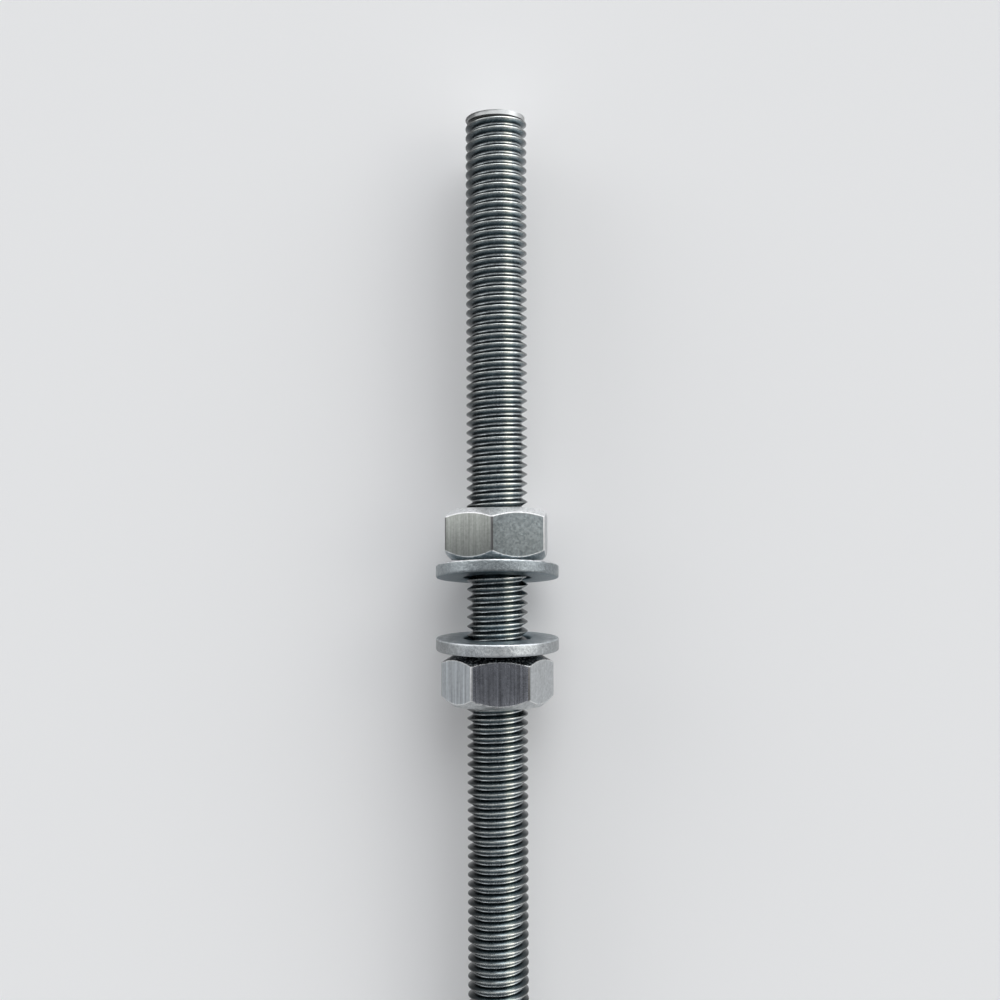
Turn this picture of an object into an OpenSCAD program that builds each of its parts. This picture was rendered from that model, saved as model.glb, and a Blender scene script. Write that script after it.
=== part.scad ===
// Threaded rod with two hex nuts and two plain washers, lying on its washers' rims.
// Millimetres. +Z is up, the rod runs along Y and its middle is above the origin.
// All threads are right-handed. The nuts' threads mesh with the rod's.

/* [Rod] */
// Length of the rod from end to end
rod_length = 160; // [90:5:175]
// Nominal diameter of the thread
thread_d = 10; // [8:0.25:11]
// Thread pitch, the advance in one turn
pitch = 1.5; // [1.3:0.05:1.75]
// How far the rolled crests lie inside the nominal radius, plating included
crest_allowance = 0.04; // [0.01:0.01:0.12]
// Depth of the thread from crest to root
thread_depth = 0.92; // [0.6:0.02:1.05]
// Chamfer at each end of the rod, at 45 degrees
end_chamfer = 0.2; // [0.1:0.05:0.8]
// Where along the rod a crest faces straight up, from the rod's middle
crest_place = 0.675; // [0:0.025:1.5]

/* [Nuts] */
// Width across the flats
nut_flats = 16; // [15:0.5:19]
// Width across the worn corners
nut_corners = 18.2; // [17.4:0.1:18.4]
// Height of each nut
nut_height = 8.4; // [6:0.2:12]
// Diameter of the flat ring, inside the chamfer, on the face that points to the rod's upper end
nut_upper_ring = 13.3; // [12.4:0.1:15.6]
// Slope of the chamfer round that ring, measured from the face
nut_upper_slope = 30; // [20:1:40]
// Diameter of the flat ring on the nut's other face
nut_lower_ring = 14.8; // [12.4:0.1:15.6]
// Slope of the chamfer round it
nut_lower_slope = 40; // [20:1:42]
// Bore of the nuts over their thread crests
nut_bore = 8.6; // [8.4:0.05:8.8]
// How much wider the mouth's countersink is than the nominal thread
countersink_play = 0.8; // [0.4:0.1:1.2]
// Distance between the two nuts' inner faces
nut_spacing = 15.2; // [14:0.1:24]
// How far the middle of that distance lies from the rod's middle
pair_place = 0.5; // [-5:0.1:5]
// Turn of the upper nut's top corner from straight up, clockwise as seen from the rod's lower end
upper_nut_turn = -5; // [-30:1:30]
// The same for the lower nut, whose flat faces up
lower_nut_turn = 33.2; // [0:0.2:60]

/* [Washers] */
// Outer diameter
washer_d = 20; // [19:0.5:24]
// Thickness
washer_t = 2; // [1.6:0.1:2.5]
// How much wider the hole is than the nominal thread
hole_play = 1; // [0.8:0.1:1.4]
// Edge rounding left by the press tool
washer_edge = 0.25; // [0.1:0.05:0.4]
// Lean of the upper washer, its top edge against the upper nut
upper_lean = 7; // [1:0.5:9]
// Lean of the lower washer, its top edge against the lower nut
lower_lean = 2.7; // [1:0.1:9]

/* [Fits] */
// Radial clearance between the nut's thread and the rod's
thread_clearance = 0.1; // [0.06:0.01:0.14]
// Gap left where a washer touches its nut or carries the rod
seat_gap = 0.06; // [0.03:0.01:0.15]
// How far the lower washer stands off its nut, beyond that gap
washer_slack = 0.24; // [0:0.02:0.6]

/* [Hidden] */

// Sides of the thread in one turn
thread_sides = 16;
round_sides = 96;
crest_flat = pitch / 8;
crest_r = thread_d / 2 - crest_allowance;
root_r = crest_r - thread_depth;
washer_r = washer_d / 2;
hole_r = (thread_d + hole_play) / 2;
upper_face = pair_place + nut_spacing / 2;
lower_face = pair_place - nut_spacing / 2;
// How far a cutter reaches past the face that it opens
overcut = 0.5;

// Half the width of a washer's rim between its rounded edges
rim_half = washer_t / 2 - washer_edge;

// Height of a leaning washer's centre when its rim stands on the floor
function washer_height(lean) = washer_r * cos(lean) + rim_half * sin(lean);

// Height of the rod's axis when it rests in the hole of a washer with this lean
function carried_height(lean) =
    washer_height(lean) - hole_r * cos(lean) + rim_half * sin(lean) + crest_r + seat_gap;

axis_height = max(carried_height(upper_lean), carried_height(lower_lean));

// Distance from a nut's inner face to the centre of the washer that leans on its flat ring
function washer_reach(lean, ring) =
    seat_gap + washer_t / 2 / cos(lean)
    + (axis_height + ring / 2 - washer_height(lean)) * tan(lean);

// One vertical line of thread points is repeated round the axis. The three points of each
// pitch are the two edges of the crest's flat and the root.
function point_offset(k) = [-crest_flat / 2, crest_flat / 2, pitch / 2][k];

// Distance along the thread of point j on the line at side i
function along(i, j, start) =
    start + pitch * (floor(j / 3) + i / thread_sides) + point_offset(j % 3);

// Radius of the thread's outline where u is the distance from the middle of a crest
function outline_r(u, crest, root) =
    let (fall = max(0, abs(u) - crest_flat / 2) / (pitch / 2 - crest_flat / 2))
    crest - (crest - root) * fall;

// Distance from the nearest crest, between minus and plus half a pitch
function from_crest(i, z, start) =
    let (turns = (z - start) / pitch - i / thread_sides)
    (turns - round(turns)) * pitch;

// Solid thread from z = low to z = high about the Z axis. A crest faces -Y at z = phase.
// Its ends are cut square, and the crests there are limited by a 45 degree chamfer.
module thread(low, high, phase, crest, root, chamfer) {
    first_turn = floor((low - phase) / pitch) - 2;
    last_turn = ceil((high - phase) / pitch) + 1;
    start = phase + first_turn * pitch;
    count = 3 * (last_turn - first_turn) + 3;
    // The first and last point of each line that lie on or past the square ends
    firsts = [for (i = [0 : thread_sides - 1])
        max([for (j = [0 : 11]) if (along(i, j, start) <= low) j])];
    lasts = [for (i = [0 : thread_sides - 1])
        min([for (j = [count - 13 : count - 1]) if (along(i, j, start) >= high) j])];
    points = [for (i = [0 : thread_sides - 1], j = [0 : count - 1])
        let (
            z = min(max(along(i, j, start), low), high),
            free_r = outline_r(from_crest(i, z, start), crest, root),
            r = min(free_r, crest - chamfer + min(z - low, high - z)),
            a = 360 * i / thread_sides - 90
        )
        [r * cos(a), r * sin(a), z]];
    // A line beside the last one is the first line, one pitch further on
    function place(i, j) =
        let (side = i % thread_sides, row = j + (i == thread_sides ? 3 : 0))
        side * count + min(max(row, firsts[side]), lasts[side]);
    sides = [for (i = [0 : thread_sides - 1], j = [-3 : count - 2])
        let (
            a = place(i, j), b = place(i, j + 1),
            c = place(i + 1, j + 1), d = place(i + 1, j)
        )
        each [[a, b, c], [a, c, d]]];
    caps = [
        [for (i = [0 : thread_sides - 1]) i * count + firsts[i]],
        [for (i = [thread_sides - 1 : -1 : 0]) i * count + lasts[i]]
    ];
    whole = [for (f = sides) if (f[0] != f[1] && f[1] != f[2] && f[2] != f[0]) f];
    polyhedron(points, concat(whole, caps), convexity = 10);
}

// Puts a shape made along Z onto the rod's axis, with its -Y side up
module on_axis() {
    translate([0, 0, axis_height]) rotate([-90, 0, 0]) children();
}

module threaded_rod() {
    color([0.36, 0.4, 0.41])
    on_axis()
    thread(-rod_length / 2, rod_length / 2, crest_place, crest_r, root_r, end_chamfer);
}

// Outline of a nut turned about its axis: corners and both faces chamfered
module nut_outline() {
    lower_rise = (nut_corners - nut_lower_ring) / 2 * tan(nut_lower_slope);
    upper_rise = (nut_corners - nut_upper_ring) / 2 * tan(nut_upper_slope);
    polygon([
        [0, 0],
        [nut_lower_ring / 2, 0],
        [nut_corners / 2, lower_rise],
        [nut_corners / 2, nut_height - upper_rise],
        [nut_upper_ring / 2, nut_height],
        [0, nut_height]
    ]);
}

// Mouth of the threaded hole, as a cone that opens downwards from z = 0
module countersink() {
    mouth_r = (thread_d + countersink_play) / 2;
    depth = mouth_r - nut_bore / 2;
    translate([0, 0, -overcut])
    cylinder(h = depth + overcut, r1 = mouth_r + overcut, r2 = nut_bore / 2, $fn = round_sides);
}

// Nut from z = base upwards, with its thread in step with the rod's
module hex_nut(base, turn) {
    // The sides of the inner thread are set out so that their middles keep the clearance
    spread = 1 / cos(180 / thread_sides);
    translate([0, 0, base])
    difference() {
        intersection() {
            rotate(turn - 90) linear_extrude(nut_height) circle(d = nut_flats / cos(30), $fn = 6);
            rotate_extrude($fn = round_sides) nut_outline();
        }
        thread(-overcut, nut_height + overcut, crest_place - base,
            (crest_r + thread_clearance) * spread, nut_bore / 2 * spread, 0);
        countersink();
        translate([0, 0, nut_height]) mirror([0, 0, 1]) countersink();
    }
}

module upper_nut() {
    color([0.62, 0.64, 0.65]) on_axis() hex_nut(upper_face, upper_nut_turn);
}

module lower_nut() {
    color([0.56, 0.57, 0.59]) on_axis() hex_nut(lower_face - nut_height, lower_nut_turn);
}

// Plain washer about the Z axis, its middle at the origin
module washer() {
    half = washer_t / 2;
    rotate_extrude($fn = round_sides)
    polygon([
        [hole_r + washer_edge, -half],
        [washer_r - washer_edge, -half],
        [washer_r, -rim_half],
        [washer_r, rim_half],
        [washer_r - washer_edge, half],
        [hole_r + washer_edge, half],
        [hole_r, rim_half],
        [hole_r, -rim_half]
    ]);
}

// Washer that stands on the floor with its top edge towards the nut. Side is 1 for the upper
// one and -1 for the lower, and reach is the distance of its centre from the nut's face.
module leaning_washer(face, side, lean, reach) {
    translate([0, face - side * reach, washer_height(lean)])
    rotate([-90 - side * lean, 0, 0]) washer();
}

module upper_washer() {
    color([0.6, 0.63, 0.65])
    leaning_washer(upper_face, 1, upper_lean, washer_reach(upper_lean, nut_lower_ring));
}

module lower_washer() {
    color([0.6, 0.63, 0.65])
    leaning_washer(lower_face, -1, lower_lean,
        washer_reach(lower_lean, nut_upper_ring) + washer_slack);
}

threaded_rod();
upper_nut();
upper_washer();
lower_washer();
lower_nut();
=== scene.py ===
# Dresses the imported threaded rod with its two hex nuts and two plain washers,
# seen from above on a pale floor in soft studio light.
import math

import bpy
from mathutils import Matrix, Vector, noise


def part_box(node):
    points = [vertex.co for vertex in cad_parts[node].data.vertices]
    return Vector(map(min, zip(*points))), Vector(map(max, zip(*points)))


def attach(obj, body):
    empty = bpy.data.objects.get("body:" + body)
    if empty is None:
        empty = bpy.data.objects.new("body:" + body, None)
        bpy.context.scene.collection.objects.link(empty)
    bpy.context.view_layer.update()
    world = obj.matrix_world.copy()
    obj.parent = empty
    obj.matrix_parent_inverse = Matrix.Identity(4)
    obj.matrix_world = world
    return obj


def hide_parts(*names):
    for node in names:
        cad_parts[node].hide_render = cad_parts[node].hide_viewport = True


mm = 0.001

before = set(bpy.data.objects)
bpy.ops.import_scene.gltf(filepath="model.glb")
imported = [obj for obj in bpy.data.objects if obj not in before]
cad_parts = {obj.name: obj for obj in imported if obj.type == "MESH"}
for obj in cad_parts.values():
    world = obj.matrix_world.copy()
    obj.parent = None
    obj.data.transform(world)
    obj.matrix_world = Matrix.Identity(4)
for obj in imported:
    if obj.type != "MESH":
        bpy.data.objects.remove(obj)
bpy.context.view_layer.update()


# Small helpers for working on one object at a time

def deselectAll():
    if bpy.context.mode != "OBJECT":
        bpy.ops.object.mode_set(mode="OBJECT")
    bpy.ops.object.select_all(action="DESELECT")


def pick(piece):
    deselectAll()
    piece.select_set(True)
    bpy.context.view_layer.objects.active = piece


def pickFaces(piece, chosen):
    # Goes into edit mode with only the chosen faces selected
    pick(piece)
    bpy.ops.object.mode_set(mode="EDIT")
    bpy.ops.mesh.select_mode(type="FACE")
    bpy.ops.mesh.select_all(action="DESELECT")
    bpy.ops.object.mode_set(mode="OBJECT")
    for face in piece.data.polygons:
        face.select = chosen(face)
    bpy.ops.object.mode_set(mode="EDIT")


def applyModifier(piece, kind, **values):
    pick(piece)
    modifier = piece.modifiers.new(kind.lower(), kind)
    for name, value in values.items():
        setattr(modifier, name, value)
    bpy.ops.object.modifier_apply(modifier=modifier.name)


def cutWith(piece, tool, operation):
    applyModifier(piece, "BOOLEAN", object=tool, operation=operation, solver="EXACT")
    bpy.data.objects.remove(tool)


def drawLine(name, points):
    # A plane is merged to one vertex, which is then extruded from point to point
    deselectAll()
    bpy.ops.mesh.primitive_plane_add(size=mm)
    line = bpy.context.active_object
    line.name = name
    bpy.ops.object.mode_set(mode="EDIT")
    bpy.ops.mesh.select_mode(type="VERT")
    bpy.ops.mesh.merge(type="CENTER")
    bpy.ops.transform.translate(value=points[0])
    for here, there in zip(points, points[1:]):
        bpy.ops.mesh.extrude_region_move(TRANSFORM_OT_translate={"value": there - here})
    bpy.ops.object.mode_set(mode="OBJECT")
    return line


def layOnAxis(piece, height):
    # What was made along Z is laid along the rod, with its -Y side up
    pick(piece)
    piece.data.transform(Matrix.Translation((0, 0, height)) @ Matrix.Rotation(-math.pi / 2, 4, "X"))
    piece.data.update()


# The thread, shared by the rod and by the taps that cut the nuts

thread = {
    "pitch": 1.5 * mm,
    "crestPlace": 0.675 * mm,
    "crestFlat": 0.19 * mm,
    "crestRound": 0.03 * mm,
    "rootRound": 0.2165 * mm,
    "flankAngle": 30,
    "steps": 64,
}


def threadLine(crest, root):
    # One pitch of the outline, from root to root, at the -Y side
    half = thread["pitch"] / 2
    lean = math.radians(thread["flankAngle"])
    round = thread["rootRound"]
    flat = thread["crestFlat"] / 2
    soft = thread["crestRound"]
    side = [(0.0, crest)]
    side.append((flat - soft, crest - 0.1 * soft))
    side.append((flat + 0.5 * soft, crest - soft))
    for turn in (1.0, 0.66, 0.33):
        a = turn * (math.pi / 2 - lean)
        side.append((half - round * math.sin(a), root + round * (1 - math.cos(a))))
    side.append((half, root))
    left = [(-u, r) for u, r in reversed(side[1:])]
    return [Vector((0, -r, u)) for u, r in left + side]


def threadTube(name, crest, root, low, high):
    pitch = thread["pitch"]
    first = math.floor((low - thread["crestPlace"]) / pitch) - 1
    turns = math.ceil((high - thread["crestPlace"]) / pitch) + 2 - first
    start = Vector((0, 0, thread["crestPlace"] + first * pitch))
    tube = drawLine(name, [start + point for point in threadLine(crest, root)])
    applyModifier(
        tube, "SCREW", axis="Z", screw_offset=pitch, iterations=turns, steps=thread["steps"],
        render_steps=thread["steps"], use_merge_vertices=True, merge_threshold=mm / 1000)
    bpy.ops.object.mode_set(mode="EDIT")
    bpy.ops.mesh.select_all(action="SELECT")
    bpy.ops.mesh.remove_doubles(threshold=mm / 1000)
    for place, way in ((low, -1), (high, 1)):
        bpy.ops.mesh.select_all(action="SELECT")
        bpy.ops.mesh.bisect(
            plane_co=(0, 0, place), plane_no=(0, 0, way), use_fill=True, clear_outer=True,
            threshold=mm / 100000)
    bpy.ops.mesh.select_all(action="SELECT")
    bpy.ops.mesh.normals_make_consistent(inside=False)
    bpy.ops.object.mode_set(mode="OBJECT")
    return tube


# Rod

rod = {
    "rootDepth": 0.92 * mm,
    "chamfer": 0.2 * mm,
    # The collar that the cut pressed into the last groove
    "collarLength": 0.72 * mm,
    "collarDepth": 0.25 * mm,
}

rodLow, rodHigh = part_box("threaded_rod")
axisHeight = (rodLow.z + rodHigh.z) / 2
crestRadius = (rodHigh.z - rodLow.z) / 2


def makeRod():
    piece = threadTube("rodThread", crestRadius, crestRadius - rod["rootDepth"], rodLow.y, rodHigh.y)
    spare = crestRadius / 4
    for end, way in ((rodLow.y, -1), (rodHigh.y, 1)):
        deselectAll()
        bpy.ops.mesh.primitive_cylinder_add(
            vertices=thread["steps"], radius=crestRadius - rod["collarDepth"],
            depth=rod["collarLength"] + spare,
            location=(0, 0, end + way * (spare - rod["collarLength"]) / 2))
        collar = bpy.context.active_object
        bpy.ops.object.transform_apply()
        cutWith(piece, collar, "UNION")
    # A blank with chamfered ends trims the crests there
    deselectAll()
    bpy.ops.mesh.primitive_cylinder_add(
        vertices=thread["steps"], radius=crestRadius + spare, depth=rodHigh.y - rodLow.y,
        location=(0, 0, (rodHigh.y + rodLow.y) / 2))
    blank = bpy.context.active_object
    pickFaces(blank, lambda face: abs(face.normal.z) > 0.9)
    bpy.ops.mesh.bevel(offset=spare + rod["chamfer"], segments=1, affect="EDGES")
    bpy.ops.object.mode_set(mode="OBJECT")
    bpy.ops.object.transform_apply()
    cutWith(piece, blank, "INTERSECT")
    layOnAxis(piece, axisHeight)
    pick(piece)
    bpy.ops.object.shade_smooth_by_angle(angle=math.radians(40))
    return piece


# Nuts

nut = {
    "flats": 16 * mm,
    "cornerRadius": 9.15 * mm,
    "arris": 0.17 * mm,
    # The face towards the rod's lower end comes first
    "rings": (7.4 * mm, 6.65 * mm),
    "slopes": (40, 30),
    "bore": 4.3 * mm,
    "threadPlay": 0.1 * mm,
    "countersink": 0.4 * mm,
}


def makeNut(name, node, turn):
    low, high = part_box(node)
    base, height = low.y, high.y - low.y
    deselectAll()
    bpy.ops.mesh.primitive_cylinder_add(
        vertices=6, radius=nut["flats"] / math.sqrt(3), depth=height,
        location=(0, 0, base + height / 2), rotation=(0, 0, math.radians(turn)))
    piece = bpy.context.active_object
    piece.name = name
    bpy.ops.object.transform_apply()
    # The turned outline that chamfers the corners of both faces
    corner, rings = nut["cornerRadius"], nut["rings"]
    rises = [
        (corner - ring) * math.tan(math.radians(slope)) for ring, slope in zip(rings, nut["slopes"])]
    outline = [
        (0, 0), (rings[0], 0), (corner, rises[0]),
        (corner, height - rises[1]), (rings[1], height), (0, height)]
    blank = drawLine("nutBlank", [Vector((r, 0, base + z)) for r, z in outline])
    applyModifier(
        blank, "SCREW", axis="Z", steps=128, render_steps=128, use_merge_vertices=True,
        merge_threshold=mm / 1000)
    bpy.ops.object.mode_set(mode="EDIT")
    bpy.ops.mesh.select_all(action="SELECT")
    bpy.ops.mesh.normals_make_consistent(inside=False)
    bpy.ops.object.mode_set(mode="OBJECT")
    cutWith(piece, blank, "INTERSECT")
    applyModifier(
        piece, "BEVEL", width=nut["arris"], segments=3, limit_method="ANGLE",
        angle_limit=math.radians(18))
    spare = 0.5 * mm
    tap = threadTube(
        "tap", crestRadius + nut["threadPlay"], nut["bore"], base - spare, base + height + spare)
    cutWith(piece, tap, "DIFFERENCE")
    mouth = crestRadius + nut["countersink"]
    sink = mouth - nut["bore"]
    for place, way in ((base, 1), (base + height, -1)):
        cone = drawLine("cone", [
            Vector((0, 0, place - way * spare)),
            Vector((mouth + spare, 0, place - way * spare)),
            Vector((nut["bore"], 0, place + way * sink)),
            Vector((0, 0, place + way * sink))])
        applyModifier(
            cone, "SCREW", axis="Z", steps=96, render_steps=96, use_merge_vertices=True,
            merge_threshold=mm / 1000)
        bpy.ops.object.mode_set(mode="EDIT")
        bpy.ops.mesh.select_all(action="SELECT")
        bpy.ops.mesh.normals_make_consistent(inside=False)
        bpy.ops.object.mode_set(mode="OBJECT")
        cutWith(piece, cone, "DIFFERENCE")
    layOnAxis(piece, axisHeight)
    pick(piece)
    bpy.ops.object.shade_smooth_by_angle(angle=math.radians(30))
    return piece


# Washers

washer = {
    "outer": 10 * mm,
    "hole": 5.5 * mm,
    "half": 1 * mm,
    "edge": 0.25 * mm,
    "lumps": 0.03 * mm,
}


def roughenRim(piece, seed):
    # The sheared rim is lumpy, and only ever inside the washer's size
    rim = piece.data.attributes.new("rim", "FLOAT", "POINT")
    # The corner attribute marks the rounded edge towards the upper end, where a highlight is painted
    corner = piece.data.attributes.new("corner", "FLOAT", "POINT")
    inner = washer["outer"] - washer["edge"]
    for vertex, mark, bright in zip(piece.data.vertices, rim.data, corner.data):
        radius = vertex.co.xy.length
        mark.value = min(max((radius - inner) / (0.8 * washer["edge"]), 0), 1)
        rounded = vertex.co.z > washer["half"] - 0.9 * washer["edge"]
        bright.value = 1 if rounded and 0 < radius - inner else 0
        lump = 0.6 * noise.noise(vertex.co / (1.3 * mm) + seed) + 0.4 * noise.noise(vertex.co / (0.5 * mm))
        vertex.co.xy *= 1 - mark.value * washer["lumps"] * (lump + 0.6) / radius


def makeWasher(name, node, lean):
    low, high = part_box(node)
    middle = (low + high) / 2
    outer, hole, half, edge = washer["outer"], washer["hole"], washer["half"], washer["edge"]
    points = []
    corners = (
        (outer - edge, half - edge, 0), (hole + edge, half - edge, 90),
        (hole + edge, edge - half, 180), (outer - edge, edge - half, 270))
    for r, z, turn in corners:
        for step in (0, 30, 60, 90):
            a = math.radians(turn + step)
            points.append(Vector((r + edge * math.cos(a), 0, z + edge * math.sin(a))))
    points.append(points[0].copy())
    # Closer points up the rim, for its rough surface
    rimRows = 6
    first = points[-2]
    piece = drawLine(name, points[:-1] + [
        first.lerp(points[-1], row / rimRows) for row in range(1, rimRows + 1)])
    applyModifier(
        piece, "SCREW", axis="Z", steps=320, render_steps=320, use_merge_vertices=True,
        merge_threshold=mm / 1000)
    bpy.ops.object.mode_set(mode="EDIT")
    bpy.ops.mesh.select_all(action="SELECT")
    bpy.ops.mesh.remove_doubles(threshold=mm / 1000)
    bpy.ops.mesh.normals_make_consistent(inside=False)
    bpy.ops.object.mode_set(mode="OBJECT")
    roughenRim(piece, Vector((0, 0, lean)))
    tilt = Matrix.Rotation(math.radians(-90 - lean), 4, "X")
    piece.data.transform(Matrix.Translation(middle) @ tilt)
    pick(piece)
    bpy.ops.object.shade_smooth_by_angle(angle=math.radians(40))
    return piece


# Node helpers

def put(tree, kind, inputs=None, **settings):
    # Adds a node; an input is a number, a colour or another node's output
    node = tree.nodes.new("ShaderNode" + kind)
    for name, value in settings.items():
        setattr(node, name, value)
    for name, value in (inputs or {}).items():
        if isinstance(value, bpy.types.NodeSocket):
            tree.links.new(value, node.inputs[name])
        else:
            node.inputs[name].default_value = value
    return node


def calc(tree, operation, *values, clamp=False):
    node = put(tree, "Math", dict(enumerate(values)), operation=operation, use_clamp=clamp)
    return node.outputs[0]


def spread(tree, value, low, high, first=0.0, last=1.0, smooth=True):
    # Maps low..high onto first..last
    kind = "SMOOTHSTEP" if smooth else "LINEAR"
    node = put(tree, "MapRange", {
        "Value": value, "From Min": low, "From Max": high, "To Min": first, "To Max": last},
        interpolation_type=kind)
    return node.outputs["Result"]


def makeGroup(name, inputs, outputs):
    group = bpy.data.node_groups.new(name, "ShaderNodeTree")
    for socket, value in inputs.items():
        kind = "NodeSocketVector" if value is None else "NodeSocketFloat"
        made = group.interface.new_socket(name=socket, in_out="INPUT", socket_type=kind)
        if value is not None:
            made.default_value = value
    for socket in outputs:
        group.interface.new_socket(name=socket, in_out="OUTPUT", socket_type="NodeSocketFloat")
    return group, group.nodes.new("NodeGroupInput"), group.nodes.new("NodeGroupOutput")


def use(tree, group, **inputs):
    node = tree.nodes.new("ShaderNodeGroup")
    node.node_tree = group
    for name, value in inputs.items():
        if isinstance(value, bpy.types.NodeSocket):
            tree.links.new(value, node.inputs[name])
        else:
            node.inputs[name].default_value = value
    return node


def makeAxisPlace():
    # Distance from the rod's axis and place along it, both in millimetres
    group, start, end = makeGroup("axisPlace", {"Vector": None}, ["Radius", "Along"])
    parts = put(group, "SeparateXYZ", {0: start.outputs["Vector"]})
    across = calc(group, "MULTIPLY", parts.outputs["X"], 1 / mm)
    up = calc(group, "MULTIPLY_ADD", parts.outputs["Z"], 1 / mm, -axisHeight / mm)
    squares = calc(group, "ADD", calc(group, "POWER", across, 2), calc(group, "POWER", up, 2))
    group.links.new(calc(group, "SQRT", squares), end.inputs["Radius"])
    group.links.new(calc(group, "MULTIPLY", parts.outputs["Y"], 1 / mm), end.inputs["Along"])
    return group


def makeStreaks():
    # Lines left by the drawing die, along the rod; Width and Length are in millimetres
    group, start, end = makeGroup(
        "drawnStreaks", {"Vector": None, "Width": 0.3, "Length": 12.0, "Shift": 0.0}, ["Streak"])
    across = calc(group, "DIVIDE", 1 / mm, start.outputs["Width"])
    along = calc(group, "DIVIDE", 1 / mm, start.outputs["Length"])
    scale = put(group, "CombineXYZ", {"X": across, "Y": along, "Z": across})
    place = put(group, "VectorMath", {0: start.outputs["Vector"], 1: scale.outputs[0]}, operation="MULTIPLY")
    moved = put(group, "VectorMath", {0: place.outputs[0], 1: start.outputs["Shift"]}, operation="ADD")
    noise = put(group, "TexNoise", {
        "Vector": moved.outputs[0], "Scale": 1.0, "Detail": 3.0, "Roughness": 0.65})
    sharp = spread(group, noise.outputs["Fac"], 0.32, 0.68, smooth=False)
    group.links.new(sharp, end.inputs["Streak"])
    return group


def makeMottle():
    # Cloudy tone; Size is in millimetres
    group, start, end = makeGroup("mottle", {"Vector": None, "Size": 1.0, "Detail": 4.0}, ["Tone"])
    scale = calc(group, "DIVIDE", 1 / mm, start.outputs["Size"])
    noise = put(group, "TexNoise", {
        "Vector": start.outputs["Vector"], "Scale": scale, "Detail": start.outputs["Detail"],
        "Roughness": 0.6})
    group.links.new(spread(group, noise.outputs["Fac"], 0.3, 0.7, smooth=False), end.inputs["Tone"])
    return group


def makeSpangle():
    # Zinc crystals, each with its own tone; Size is in millimetres
    group, start, end = makeGroup("spangle", {"Vector": None, "Size": 0.4}, ["Tone"])
    scale = calc(group, "DIVIDE", 1 / mm, start.outputs["Size"])
    wobble = put(group, "TexNoise", {"Vector": start.outputs["Vector"], "Scale": scale, "Detail": 2.0})
    shift = put(group, "VectorMath", {0: wobble.outputs["Color"], 1: (0.4 * mm, 0.4 * mm, 0.4 * mm)},
                operation="MULTIPLY")
    place = put(group, "VectorMath", {0: start.outputs["Vector"], 1: shift.outputs[0]}, operation="ADD")
    cells = put(group, "TexVoronoi", {"Vector": place.outputs[0], "Scale": scale})
    tone = put(group, "SeparateColor", {0: cells.outputs["Color"]})
    group.links.new(tone.outputs[0], end.inputs["Tone"])
    return group


def makeConeEdge():
    # How far a point of a nut lies from the cone that chamfers one face, in millimetres
    group, start, end = makeGroup(
        "coneEdge", {"Radius": 0.0, "Depth": 0.0, "Ring": 7.0, "Slope": 30.0}, ["Distance"])
    rise = calc(group, "TANGENT", calc(group, "RADIANS", start.outputs["Slope"]))
    beyond = calc(group, "SUBTRACT", start.outputs["Radius"], start.outputs["Ring"])
    cone = calc(group, "MULTIPLY", beyond, rise)
    group.links.new(calc(group, "SUBTRACT", start.outputs["Depth"], cone), end.inputs["Distance"])
    return group


axisPlace = makeAxisPlace()
drawnStreaks = makeStreaks()
mottle = makeMottle()
spangle = makeSpangle()
coneEdge = makeConeEdge()


def newMetal(name):
    material = bpy.data.materials.new(name)
    material.use_nodes = True
    tree = material.node_tree
    shader = tree.nodes["Principled BSDF"]
    shader.inputs["Metallic"].default_value = 1
    place = put(tree, "TexCoord").outputs["Object"]
    return material, tree, shader, place


def scaled(tree, colour, factor):
    # Colour times a changing factor
    node = put(tree, "VectorMath", {0: colour, "Scale": factor}, operation="SCALE")
    return node.outputs[0]


def blend(tree, factor, first, second):
    node = put(tree, "Mix", data_type="RGBA")
    for socket, value in ((node.inputs["Factor"], factor), (node.inputs[6], first), (node.inputs[7], second)):
        if isinstance(value, bpy.types.NodeSocket):
            tree.links.new(value, socket)
        else:
            socket.default_value = value
    return node.outputs[2]


# Zinc on the rod, with painted light in its colour: painted highlights on the crests and in the roots'
# radius, painted shade low on the flanks, on the flanks that face the upper end and at the two sides, and a
# painted highlight stripe

rodFinish = {
    # The bands paint a highlight in the roots' radius and on the crests, and shade low on the flanks
    "bands": [
        # share of the thread's depth from the root, colour
        (0.00, (0.62, 0.67, 0.69)),
        (0.06, (0.58, 0.63, 0.65)),
        (0.16, (0.06, 0.095, 0.115)),
        (0.45, (0.19, 0.265, 0.30)),
        (0.80, (0.42, 0.51, 0.55)),
        (0.93, (0.69, 0.74, 0.74)),
        (1.00, (0.76, 0.80, 0.79)),
    ],
    # Painted shade: share of the colour that is left on the flanks towards the upper end, and at the two
    # sides
    "shadedFlank": 0.3,
    "shadedSides": (0.13, 0.25),
    # Share of bare metal on the flanks towards the lower end, where the zinc has a pale haze
    "hazyFlank": 0.6,
    # A painted highlight stripe along the rod: where it starts and ends across the rod, in millimetres
    "highlightStripe": ((0.8, 1.7), (2.7, 2.45)),
    "highlightTint": (1.5, 1.42, 1.3),
    "end": (0.8, 0.82, 0.82),
    "roughness": 0.22,
}


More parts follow.
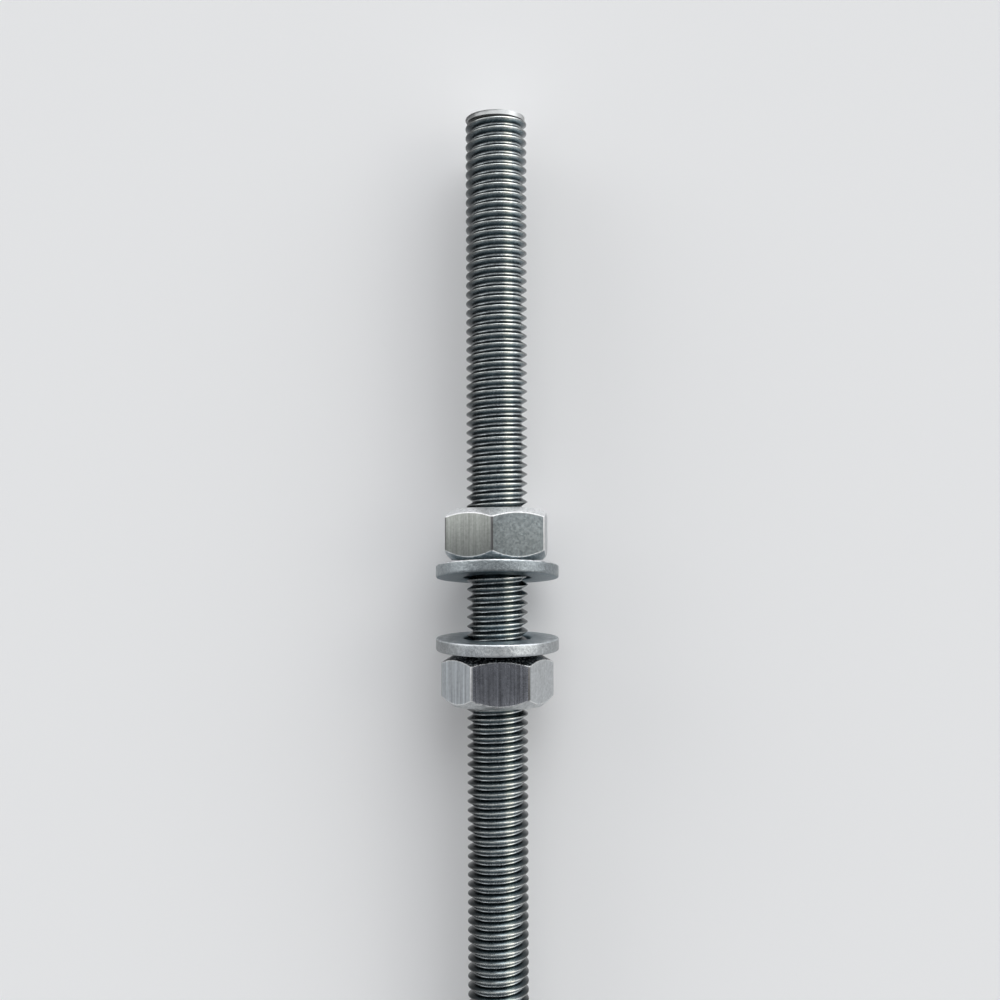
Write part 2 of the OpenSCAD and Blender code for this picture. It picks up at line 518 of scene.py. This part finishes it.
def makeRodZinc():
    material, tree, shader, place = newMetal("rodZinc")
    spot = use(tree, axisPlace, Vector=place)
    root = (crestRadius - rod["rootDepth"]) / mm
    depth = spread(tree, spot.outputs["Radius"], root, crestRadius / mm, smooth=False)
    uneven = use(tree, mottle, Vector=place, Size=0.5).outputs["Tone"]
    depth = calc(tree, "ADD", depth, calc(tree, "MULTIPLY_ADD", uneven, 0.05, -0.025))
    ramp = put(tree, "ValToRGB", {"Fac": depth})
    elements = ramp.color_ramp.elements
    bands = rodFinish["bands"]
    while len(elements) < len(bands):
        elements.new(0.5)
    for element, (share, colour) in zip(elements, bands):
        element.position = share
        element.color = (*colour, 1)
    cloud = use(tree, mottle, Vector=place, Size=1.4).outputs["Tone"]
    fine = use(tree, mottle, Vector=place, Size=0.18, Detail=2.0).outputs["Tone"]
    tone = calc(tree, "ADD", spread(tree, cloud, 0, 1, 0.8, 1.1), calc(tree, "MULTIPLY_ADD", fine, 0.4, -0.2))
    facing = put(tree, "SeparateXYZ", {0: put(tree, "TexCoord").outputs["Normal"]}).outputs["Y"]
    # Painted shade on the flanks that face the upper end
    tone = calc(tree, "MULTIPLY", tone, spread(tree, facing, 0.2, 0.6, 1, rodFinish["shadedFlank"]))
    across = put(tree, "SeparateXYZ", {0: place}).outputs["X"]
    # Painted shade towards the left and the right side of the rod
    sides = 1.0
    for start, end, side in zip((-0.05, 0.5), (-0.9, 1), rodFinish["shadedSides"]):
        sides = calc(tree, "MULTIPLY", sides, spread(
            tree, across, start * crestRadius, end * crestRadius, 1, side))
    # Painted highlight: a lighter, warmer stripe along the rod, to the right of its top
    rise, fall = (
        spread(tree, across, start * mm, end * mm) for start, end in rodFinish["highlightStripe"])
    tintAndPaintedLight = blend(
        tree, calc(tree, "MULTIPLY", rise, fall), (1, 1, 1, 1), (*rodFinish["highlightTint"], 1))
    colour = scaled(tree, ramp.outputs["Color"], calc(tree, "MULTIPLY", tone, sides))
    colour = put(tree, "VectorMath", {0: colour, 1: tintAndPaintedLight}, operation="MULTIPLY").outputs[0]
    # The cut ends are bare and bright, and the first groove beside them is darker
    toEnd = calc(tree, "SUBTRACT", rodHigh.y / mm, calc(tree, "ABSOLUTE", spot.outputs["Along"]))
    bare = spread(tree, toEnd, 0.78, 0.72)
    grooveDarkening = calc(tree, "MULTIPLY", spread(tree, toEnd, 0.72, 0.78), spread(tree, toEnd, 1.05, 0.9))
    colour = scaled(tree, colour, spread(tree, grooveDarkening, 0, 1, 1, 0.1))
    # The bright end also takes the painted shade at the two sides
    bright = scaled(tree, rodFinish["end"], calc(tree, "POWER", sides, 0.8))
    colour = blend(tree, bare, colour, bright)
    tree.links.new(colour, shader.inputs["Base Color"])
    haze = spread(tree, facing, -0.6, -0.2, rodFinish["hazyFlank"], 1)
    metal = calc(tree, "MULTIPLY", haze, spread(tree, bare, 0, 1, 1, 0.2))
    tree.links.new(metal, shader.inputs["Metallic"])
    rough = rodFinish["roughness"]
    tree.links.new(spread(tree, fine, 0, 1, rough - 0.05, rough + 0.07), shader.inputs["Roughness"])
    bump = put(tree, "Bump", {"Height": fine, "Distance": 0.006 * mm, "Strength": 0.5})
    tree.links.new(bump.outputs[0], shader.inputs["Normal"])
    return material


# Zinc on the nuts: drawn flats and turned chamfers, with painted light and shade in the colours of flats,
# corners and chamfers

nutFinish = {
    "edge": (0.85, 0.86, 0.86),
    "plain": {"tintAndPaintedLight": (0.45, 0.46, 0.47), "streaks": 0.5, "spangle": 0.4, "roughness": 0.36},
    # Flats and corners that show, by their turn from straight up; their tints are painted light and shade,
    # each lighter or darker by how the light falls on it
    "upper": {
        # Chamfer colours towards the lower and the upper end; the bright upper one is a painted highlight
        "chamfers": ((0.42, 0.47, 0.49), (0.9, 0.91, 0.92)),
        "flats": {
            -35: {"tintAndPaintedLight": (0.294, 0.308, 0.29), "streaks": 0.35, "spangle": 0.35, "roughness": 0.4},
            25: {"tintAndPaintedLight": (0.178, 0.2, 0.208), "streaks": 0.1, "spangle": 1.0, "roughness": 0.36},
        },
        "corners": {-65: 0.12, -5: 0.28, 55: 0.75},
    },
    "lower": {
        # The chamfer towards the upper end is painted dark, as shade under the washer
        "chamfers": ((0.50, 0.52, 0.53), (0.05, 0.05, 0.055)),
        "flats": {
            -56.8: {"tintAndPaintedLight": (0.385, 0.41, 0.43), "streaks": 0.8, "spangle": 0.3, "roughness": 0.36},
            3.2: {"tintAndPaintedLight": (0.45, 0.46, 0.51), "streaks": 1.0, "spangle": 0.5, "roughness": 0.27},
            63.2: {"tintAndPaintedLight": (0.50, 0.52, 0.53), "streaks": 0.15, "spangle": 0.5, "roughness": 0.36},
        },
        "corners": {-86.8: 0.3, -26.8: 0.8, 33.2: 0.15, 93.2: 0.4},
    },
}


def markFlats(piece, finish):
    # Writes the tint, with its painted light and shade, and the finish of each flat and corner to the piece's
    # own attributes
    mesh = piece.data
    tintsAndPaintedLight = mesh.attributes.new("tintAndPaintedLight", "FLOAT_COLOR", "CORNER")
    finishes = mesh.attributes.new("finish", "FLOAT_COLOR", "CORNER")
    for face in mesh.polygons:
        values = nutFinish["plain"]
        tintAndPaintedLight = values["tintAndPaintedLight"]
        facing = math.degrees(math.atan2(face.normal.x, face.normal.z))
        if abs(face.normal.y) < 0.1:
            for turn, grey in finish["corners"].items():
                if abs(facing - turn) < 28:
                    tintAndPaintedLight = (grey, grey, grey)
            for turn, found in finish["flats"].items():
                if abs(facing - turn) < 2:
                    values, tintAndPaintedLight = found, found["tintAndPaintedLight"]
        for corner in face.loop_indices:
            tintsAndPaintedLight.data[corner].color = (*tintAndPaintedLight, 1)
            finishes.data[corner].color = (
                values["streaks"], values["spangle"], values["roughness"], 1)


def makeNutZinc(name, node, chamfers):
    material, tree, shader, place = newMetal(name)
    low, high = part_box(node)
    spot = use(tree, axisPlace, Vector=place)
    radius, along = spot.outputs["Radius"], spot.outputs["Along"]
    # The tint carries each flat's and corner's painted light and shade
    tintAndPaintedLight = put(tree, "Attribute", attribute_name="tintAndPaintedLight").outputs["Color"]
    finish = put(tree, "Attribute", attribute_name="finish").outputs["Color"]
    share = put(tree, "SeparateColor", {0: finish})
    streaks, crystals, rough = share.outputs[0], share.outputs[1], share.outputs[2]
    wide = use(tree, drawnStreaks, Vector=place, Width=0.5, Length=30.0).outputs["Streak"]
    thin = use(tree, drawnStreaks, Vector=place, Width=0.12, Length=9.0, Shift=7.0).outputs["Streak"]
    lines = calc(tree, "MULTIPLY_ADD", calc(tree, "ADD", wide, thin), 0.5, -0.5)
    flake = use(tree, spangle, Vector=place, Size=0.32).outputs["Tone"]
    cloud = use(tree, mottle, Vector=place, Size=0.6).outputs["Tone"]
    patches = calc(tree, "MULTIPLY_ADD", calc(tree, "ADD", flake, cloud), 0.5, -0.5)
    tone = calc(tree, "MULTIPLY_ADD", calc(tree, "MULTIPLY", lines, streaks), 1.5, 1)
    tone = calc(tree, "MULTIPLY_ADD", calc(tree, "MULTIPLY", patches, crystals), 0.8, tone)
    colour = scaled(tree, tintAndPaintedLight, tone)
    # The two chamfers, whose colours carry painted highlight and shade, and the rubbed edges beside them
    uneven = use(tree, mottle, Vector=place, Size=0.35).outputs["Tone"]
    wobble = calc(tree, "MULTIPLY_ADD", uneven, 0.1, -0.05)
    depths = (
        calc(tree, "SUBTRACT", along, low.y / mm), calc(tree, "SUBTRACT", high.y / mm, along))
    worn = 0.0
    for depth, ring, slope, turned in zip(depths, nut["rings"], nut["slopes"], chamfers):
        gap = use(tree, coneEdge, Radius=radius, Depth=depth, Ring=ring / mm, Slope=slope).outputs[0]
        gap = calc(tree, "ADD", gap, wobble)
        brightEdge = calc(tree, "MULTIPLY", spread(tree, gap, 0.2, 0.1), spread(tree, gap, 0.0, 0.06))
        worn = calc(tree, "MAXIMUM", worn, calc(tree, "MULTIPLY", brightEdge, spread(tree, uneven, 0.1, 0.6)))
        tooled = scaled(tree, turned, spread(tree, cloud, 0, 1, 0.8, 1.1))
        colour = blend(tree, spread(tree, gap, 0.08, 0.0), colour, tooled)
    colour = blend(tree, calc(tree, "MULTIPLY", worn, 0.9), colour, (*nutFinish["edge"], 1))
    tree.links.new(calc(tree, "MULTIPLY_ADD", worn, -0.6, 1), shader.inputs["Metallic"])
    # The threaded bore is darker
    colour = scaled(tree, colour, spread(tree, radius, 5.2, 5.7, 0.25, 1))
    tree.links.new(colour, shader.inputs["Base Color"])
    grain = use(tree, mottle, Vector=place, Size=0.12, Detail=2.0).outputs["Tone"]
    dull = calc(tree, "MULTIPLY_ADD", grain, 0.1, calc(tree, "SUBTRACT", rough, 0.05))
    tree.links.new(calc(tree, "MULTIPLY_ADD", worn, -0.12, dull), shader.inputs["Roughness"])
    relief = calc(tree, "MULTIPLY", calc(tree, "ADD", patches, grain),
                  calc(tree, "MULTIPLY_ADD", crystals, 0.6, 0.2))
    height = calc(tree, "MULTIPLY_ADD", lines, calc(tree, "MULTIPLY", streaks, 0.5), relief)
    bump = put(tree, "Bump", {"Height": height, "Distance": 0.008 * mm, "Strength": 0.7})
    tree.links.new(bump.outputs[0], shader.inputs["Normal"])
    return material


# Zinc on the washers: smooth faces and a rough sheared rim, with painted light and shade in each washer's
# colours

washerFinish = {
    # The rim's tones at the left and at the right are painted shade; face and rim colours differ between the
    # washers as painted light and shade, and the edge colour is a painted highlight
    "upper": {
        "face": (0.125, 0.185, 0.22), "rim": (0.29, 0.32, 0.335), "sides": (0.9, 0.85),
        "edge": (0.85, 0.86, 0.87)},
    "lower": {
        "face": (0.36, 0.46, 0.52), "rim": (0.84, 0.88, 0.90), "sides": (0.3, 0.42),
        "edge": (0.55, 0.58, 0.6)},
}


def makeWasherZinc(name, values):
    material, tree, shader, place = newMetal(name)
    rim = put(tree, "Attribute", attribute_name="rim").outputs["Fac"]
    cloud = use(tree, mottle, Vector=place, Size=1.1).outputs["Tone"]
    flake = use(tree, spangle, Vector=place, Size=0.3).outputs["Tone"]
    lump = use(tree, mottle, Vector=place, Size=0.45, Detail=3.0).outputs["Tone"]
    grain = use(tree, mottle, Vector=place, Size=0.14, Detail=2.0).outputs["Tone"]
    # Each washer's face and rim colours are painted lighter or darker by how the light falls on it
    colour = blend(tree, rim, (*values["face"], 1), (*values["rim"], 1))
    patches = calc(tree, "MULTIPLY_ADD", calc(tree, "ADD", flake, cloud), 0.5, -0.5)
    tone = calc(tree, "MULTIPLY_ADD", patches, 0.25, 1)
    speck = calc(tree, "MULTIPLY", rim, calc(tree, "SUBTRACT", calc(tree, "MULTIPLY", lump, grain), 0.25))
    tone = calc(tree, "MULTIPLY_ADD", speck, 0.9, tone)
    across = put(tree, "SeparateXYZ", {0: place}).outputs["X"]
    # Painted shade towards the left and the right
    for end, side in zip((-0.9 * washer["outer"], 0.9 * washer["outer"]), values["sides"]):
        tone = calc(tree, "MULTIPLY", tone, spread(tree, across, 0.1 * end, end, 1, side))
    colour = scaled(tree, colour, tone)
    # Painted highlight on the rounded edge towards the upper end, here and there
    corner = put(tree, "Attribute", attribute_name="corner").outputs["Fac"]
    brightEdge = calc(tree, "MULTIPLY", corner, spread(tree, cloud, 0.2, 0.8, 0.3, 1))
    colour = blend(tree, brightEdge, colour, (*values["edge"], 1))
    tree.links.new(colour, shader.inputs["Base Color"])
    dull = calc(tree, "MULTIPLY_ADD", grain, 0.12, 0.3)
    tree.links.new(dull, shader.inputs["Roughness"])
    height = calc(tree, "MULTIPLY_ADD", calc(tree, "MULTIPLY", lump, rim), 3.0, grain)
    bump = put(tree, "Bump", {"Height": height, "Distance": 0.012 * mm, "Strength": 0.8})
    tree.links.new(bump.outputs[0], shader.inputs["Normal"])
    return material


def dress(piece, material, body, node):
    piece.data.materials.clear()
    piece.data.materials.append(material)
    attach(piece, body)
    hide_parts(node)


dress(makeRod(), makeRodZinc(), "rod", "threaded_rod")
print("rod made")

for side, turn, slot in (("upper", -5, "nut_zinc"), ("lower", 33.2, "dark_nut_zinc")):
    finish = nutFinish[side]
    piece = makeNut(side + "HexNut", side + "_nut", turn)
    markFlats(piece, finish)
    material = makeNutZinc(side + "NutZinc", side + "_nut", finish["chamfers"])
    dress(piece, material, side + "_nut", side + "_nut")
print("nuts made")

for side, lean in (("upper", 7), ("lower", -2.7)):
    piece = makeWasher(side + "PlainWasher", side + "_washer", lean)
    material = makeWasherZinc(side + "WasherZinc", washerFinish[side])
    dress(piece, material, side + "_washer", side + "_washer")
print("washers made")


# Floor

def makeFloor():
    deselectAll()
    bpy.ops.mesh.primitive_plane_add(size=4)
    floor = bpy.context.active_object
    floor.name = "floor"
    material = bpy.data.materials.new("palePaper")
    material.use_nodes = True
    shader = material.node_tree.nodes["Principled BSDF"]
    shader.inputs["Base Color"].default_value = (0.88, 0.88, 0.885, 1)
    shader.inputs["Roughness"].default_value = 1
    shader.inputs["Specular IOR Level"].default_value = 0
    floor.data.materials.append(material)


makeFloor()


# Light: a bright window beyond the rod's upper end and to its right, and a dark figure that leans
# over from the lower end, in a room with plain walls

room = {
    "walls": (0.59, 0.595, 0.60),
    # Painted over each other in this order; angles in degrees from the middle of the spot
    "spots": [
        {"towards": (-0.8, -0.1, 0.55), "inner": 12, "outer": 38, "colour": (0.22, 0.23, 0.25)},
        {"towards": (-1, 0.6, 0.2), "inner": 5, "outer": 36, "colour": (2.5, 2.5, 2.5)},
        {"towards": (1, 0.6, 0.2), "inner": 5, "outer": 36, "colour": (2.4, 2.42, 2.45)},
        {"towards": (0.79, 0.0, 0.61), "inner": 5, "outer": 13, "colour": (2.3, 2.24, 2.1)},
        {"towards": (0.25, 1, 0.6), "inner": 8, "outer": 36, "colour": (3.7, 3.75, 3.8)},
        {"towards": (0.1, -0.02, 1), "inner": 12, "outer": 28, "colour": (0.09, 0.095, 0.1)},
        {"towards": (0, -1, 0.35), "inner": 20, "outer": 60, "colour": (0.15, 0.155, 0.16)},
    ],
}


def makeWorld():
    world = bpy.data.worlds.new("room")
    bpy.context.scene.world = world
    world.use_nodes = True
    tree = world.node_tree
    direction = put(tree, "TexCoord").outputs["Generated"]
    colour = (*room["walls"], 1)
    for values in room["spots"]:
        middle = Vector(values["towards"]).normalized()
        dot = put(tree, "VectorMath", {0: direction, 1: middle}, operation="DOT_PRODUCT")
        edges = [math.cos(math.radians(values[name])) for name in ("outer", "inner")]
        share = spread(tree, dot.outputs["Value"], *edges)
        colour = blend(tree, share, colour, (*values["colour"], 1))
    tree.links.new(colour, tree.nodes["Background"].inputs["Color"])


makeWorld()


# Camera, straight above

view = {
    "height": 200 * mm,
    "place": (0.46 * mm, 9.72 * mm),
    "focal": 44.115,
    "sensor": 36,
    "shift": 0.05,
    "roll": 0.18,
}


def makeCamera():
    data = bpy.data.cameras.new("camera")
    camera = bpy.data.objects.new("camera", data)
    bpy.context.scene.collection.objects.link(camera)
    data.sensor_width = view["sensor"]
    data.lens = view["focal"]
    data.shift_y = view["shift"]
    data.clip_start = 0.01
    camera.location = (*view["place"], axisHeight + view["height"])
    camera.rotation_euler = (0, 0, -math.radians(view["roll"]))
    bpy.context.scene.camera = camera


makeCamera()
bpy.context.scene.view_settings.view_transform = "Standard"
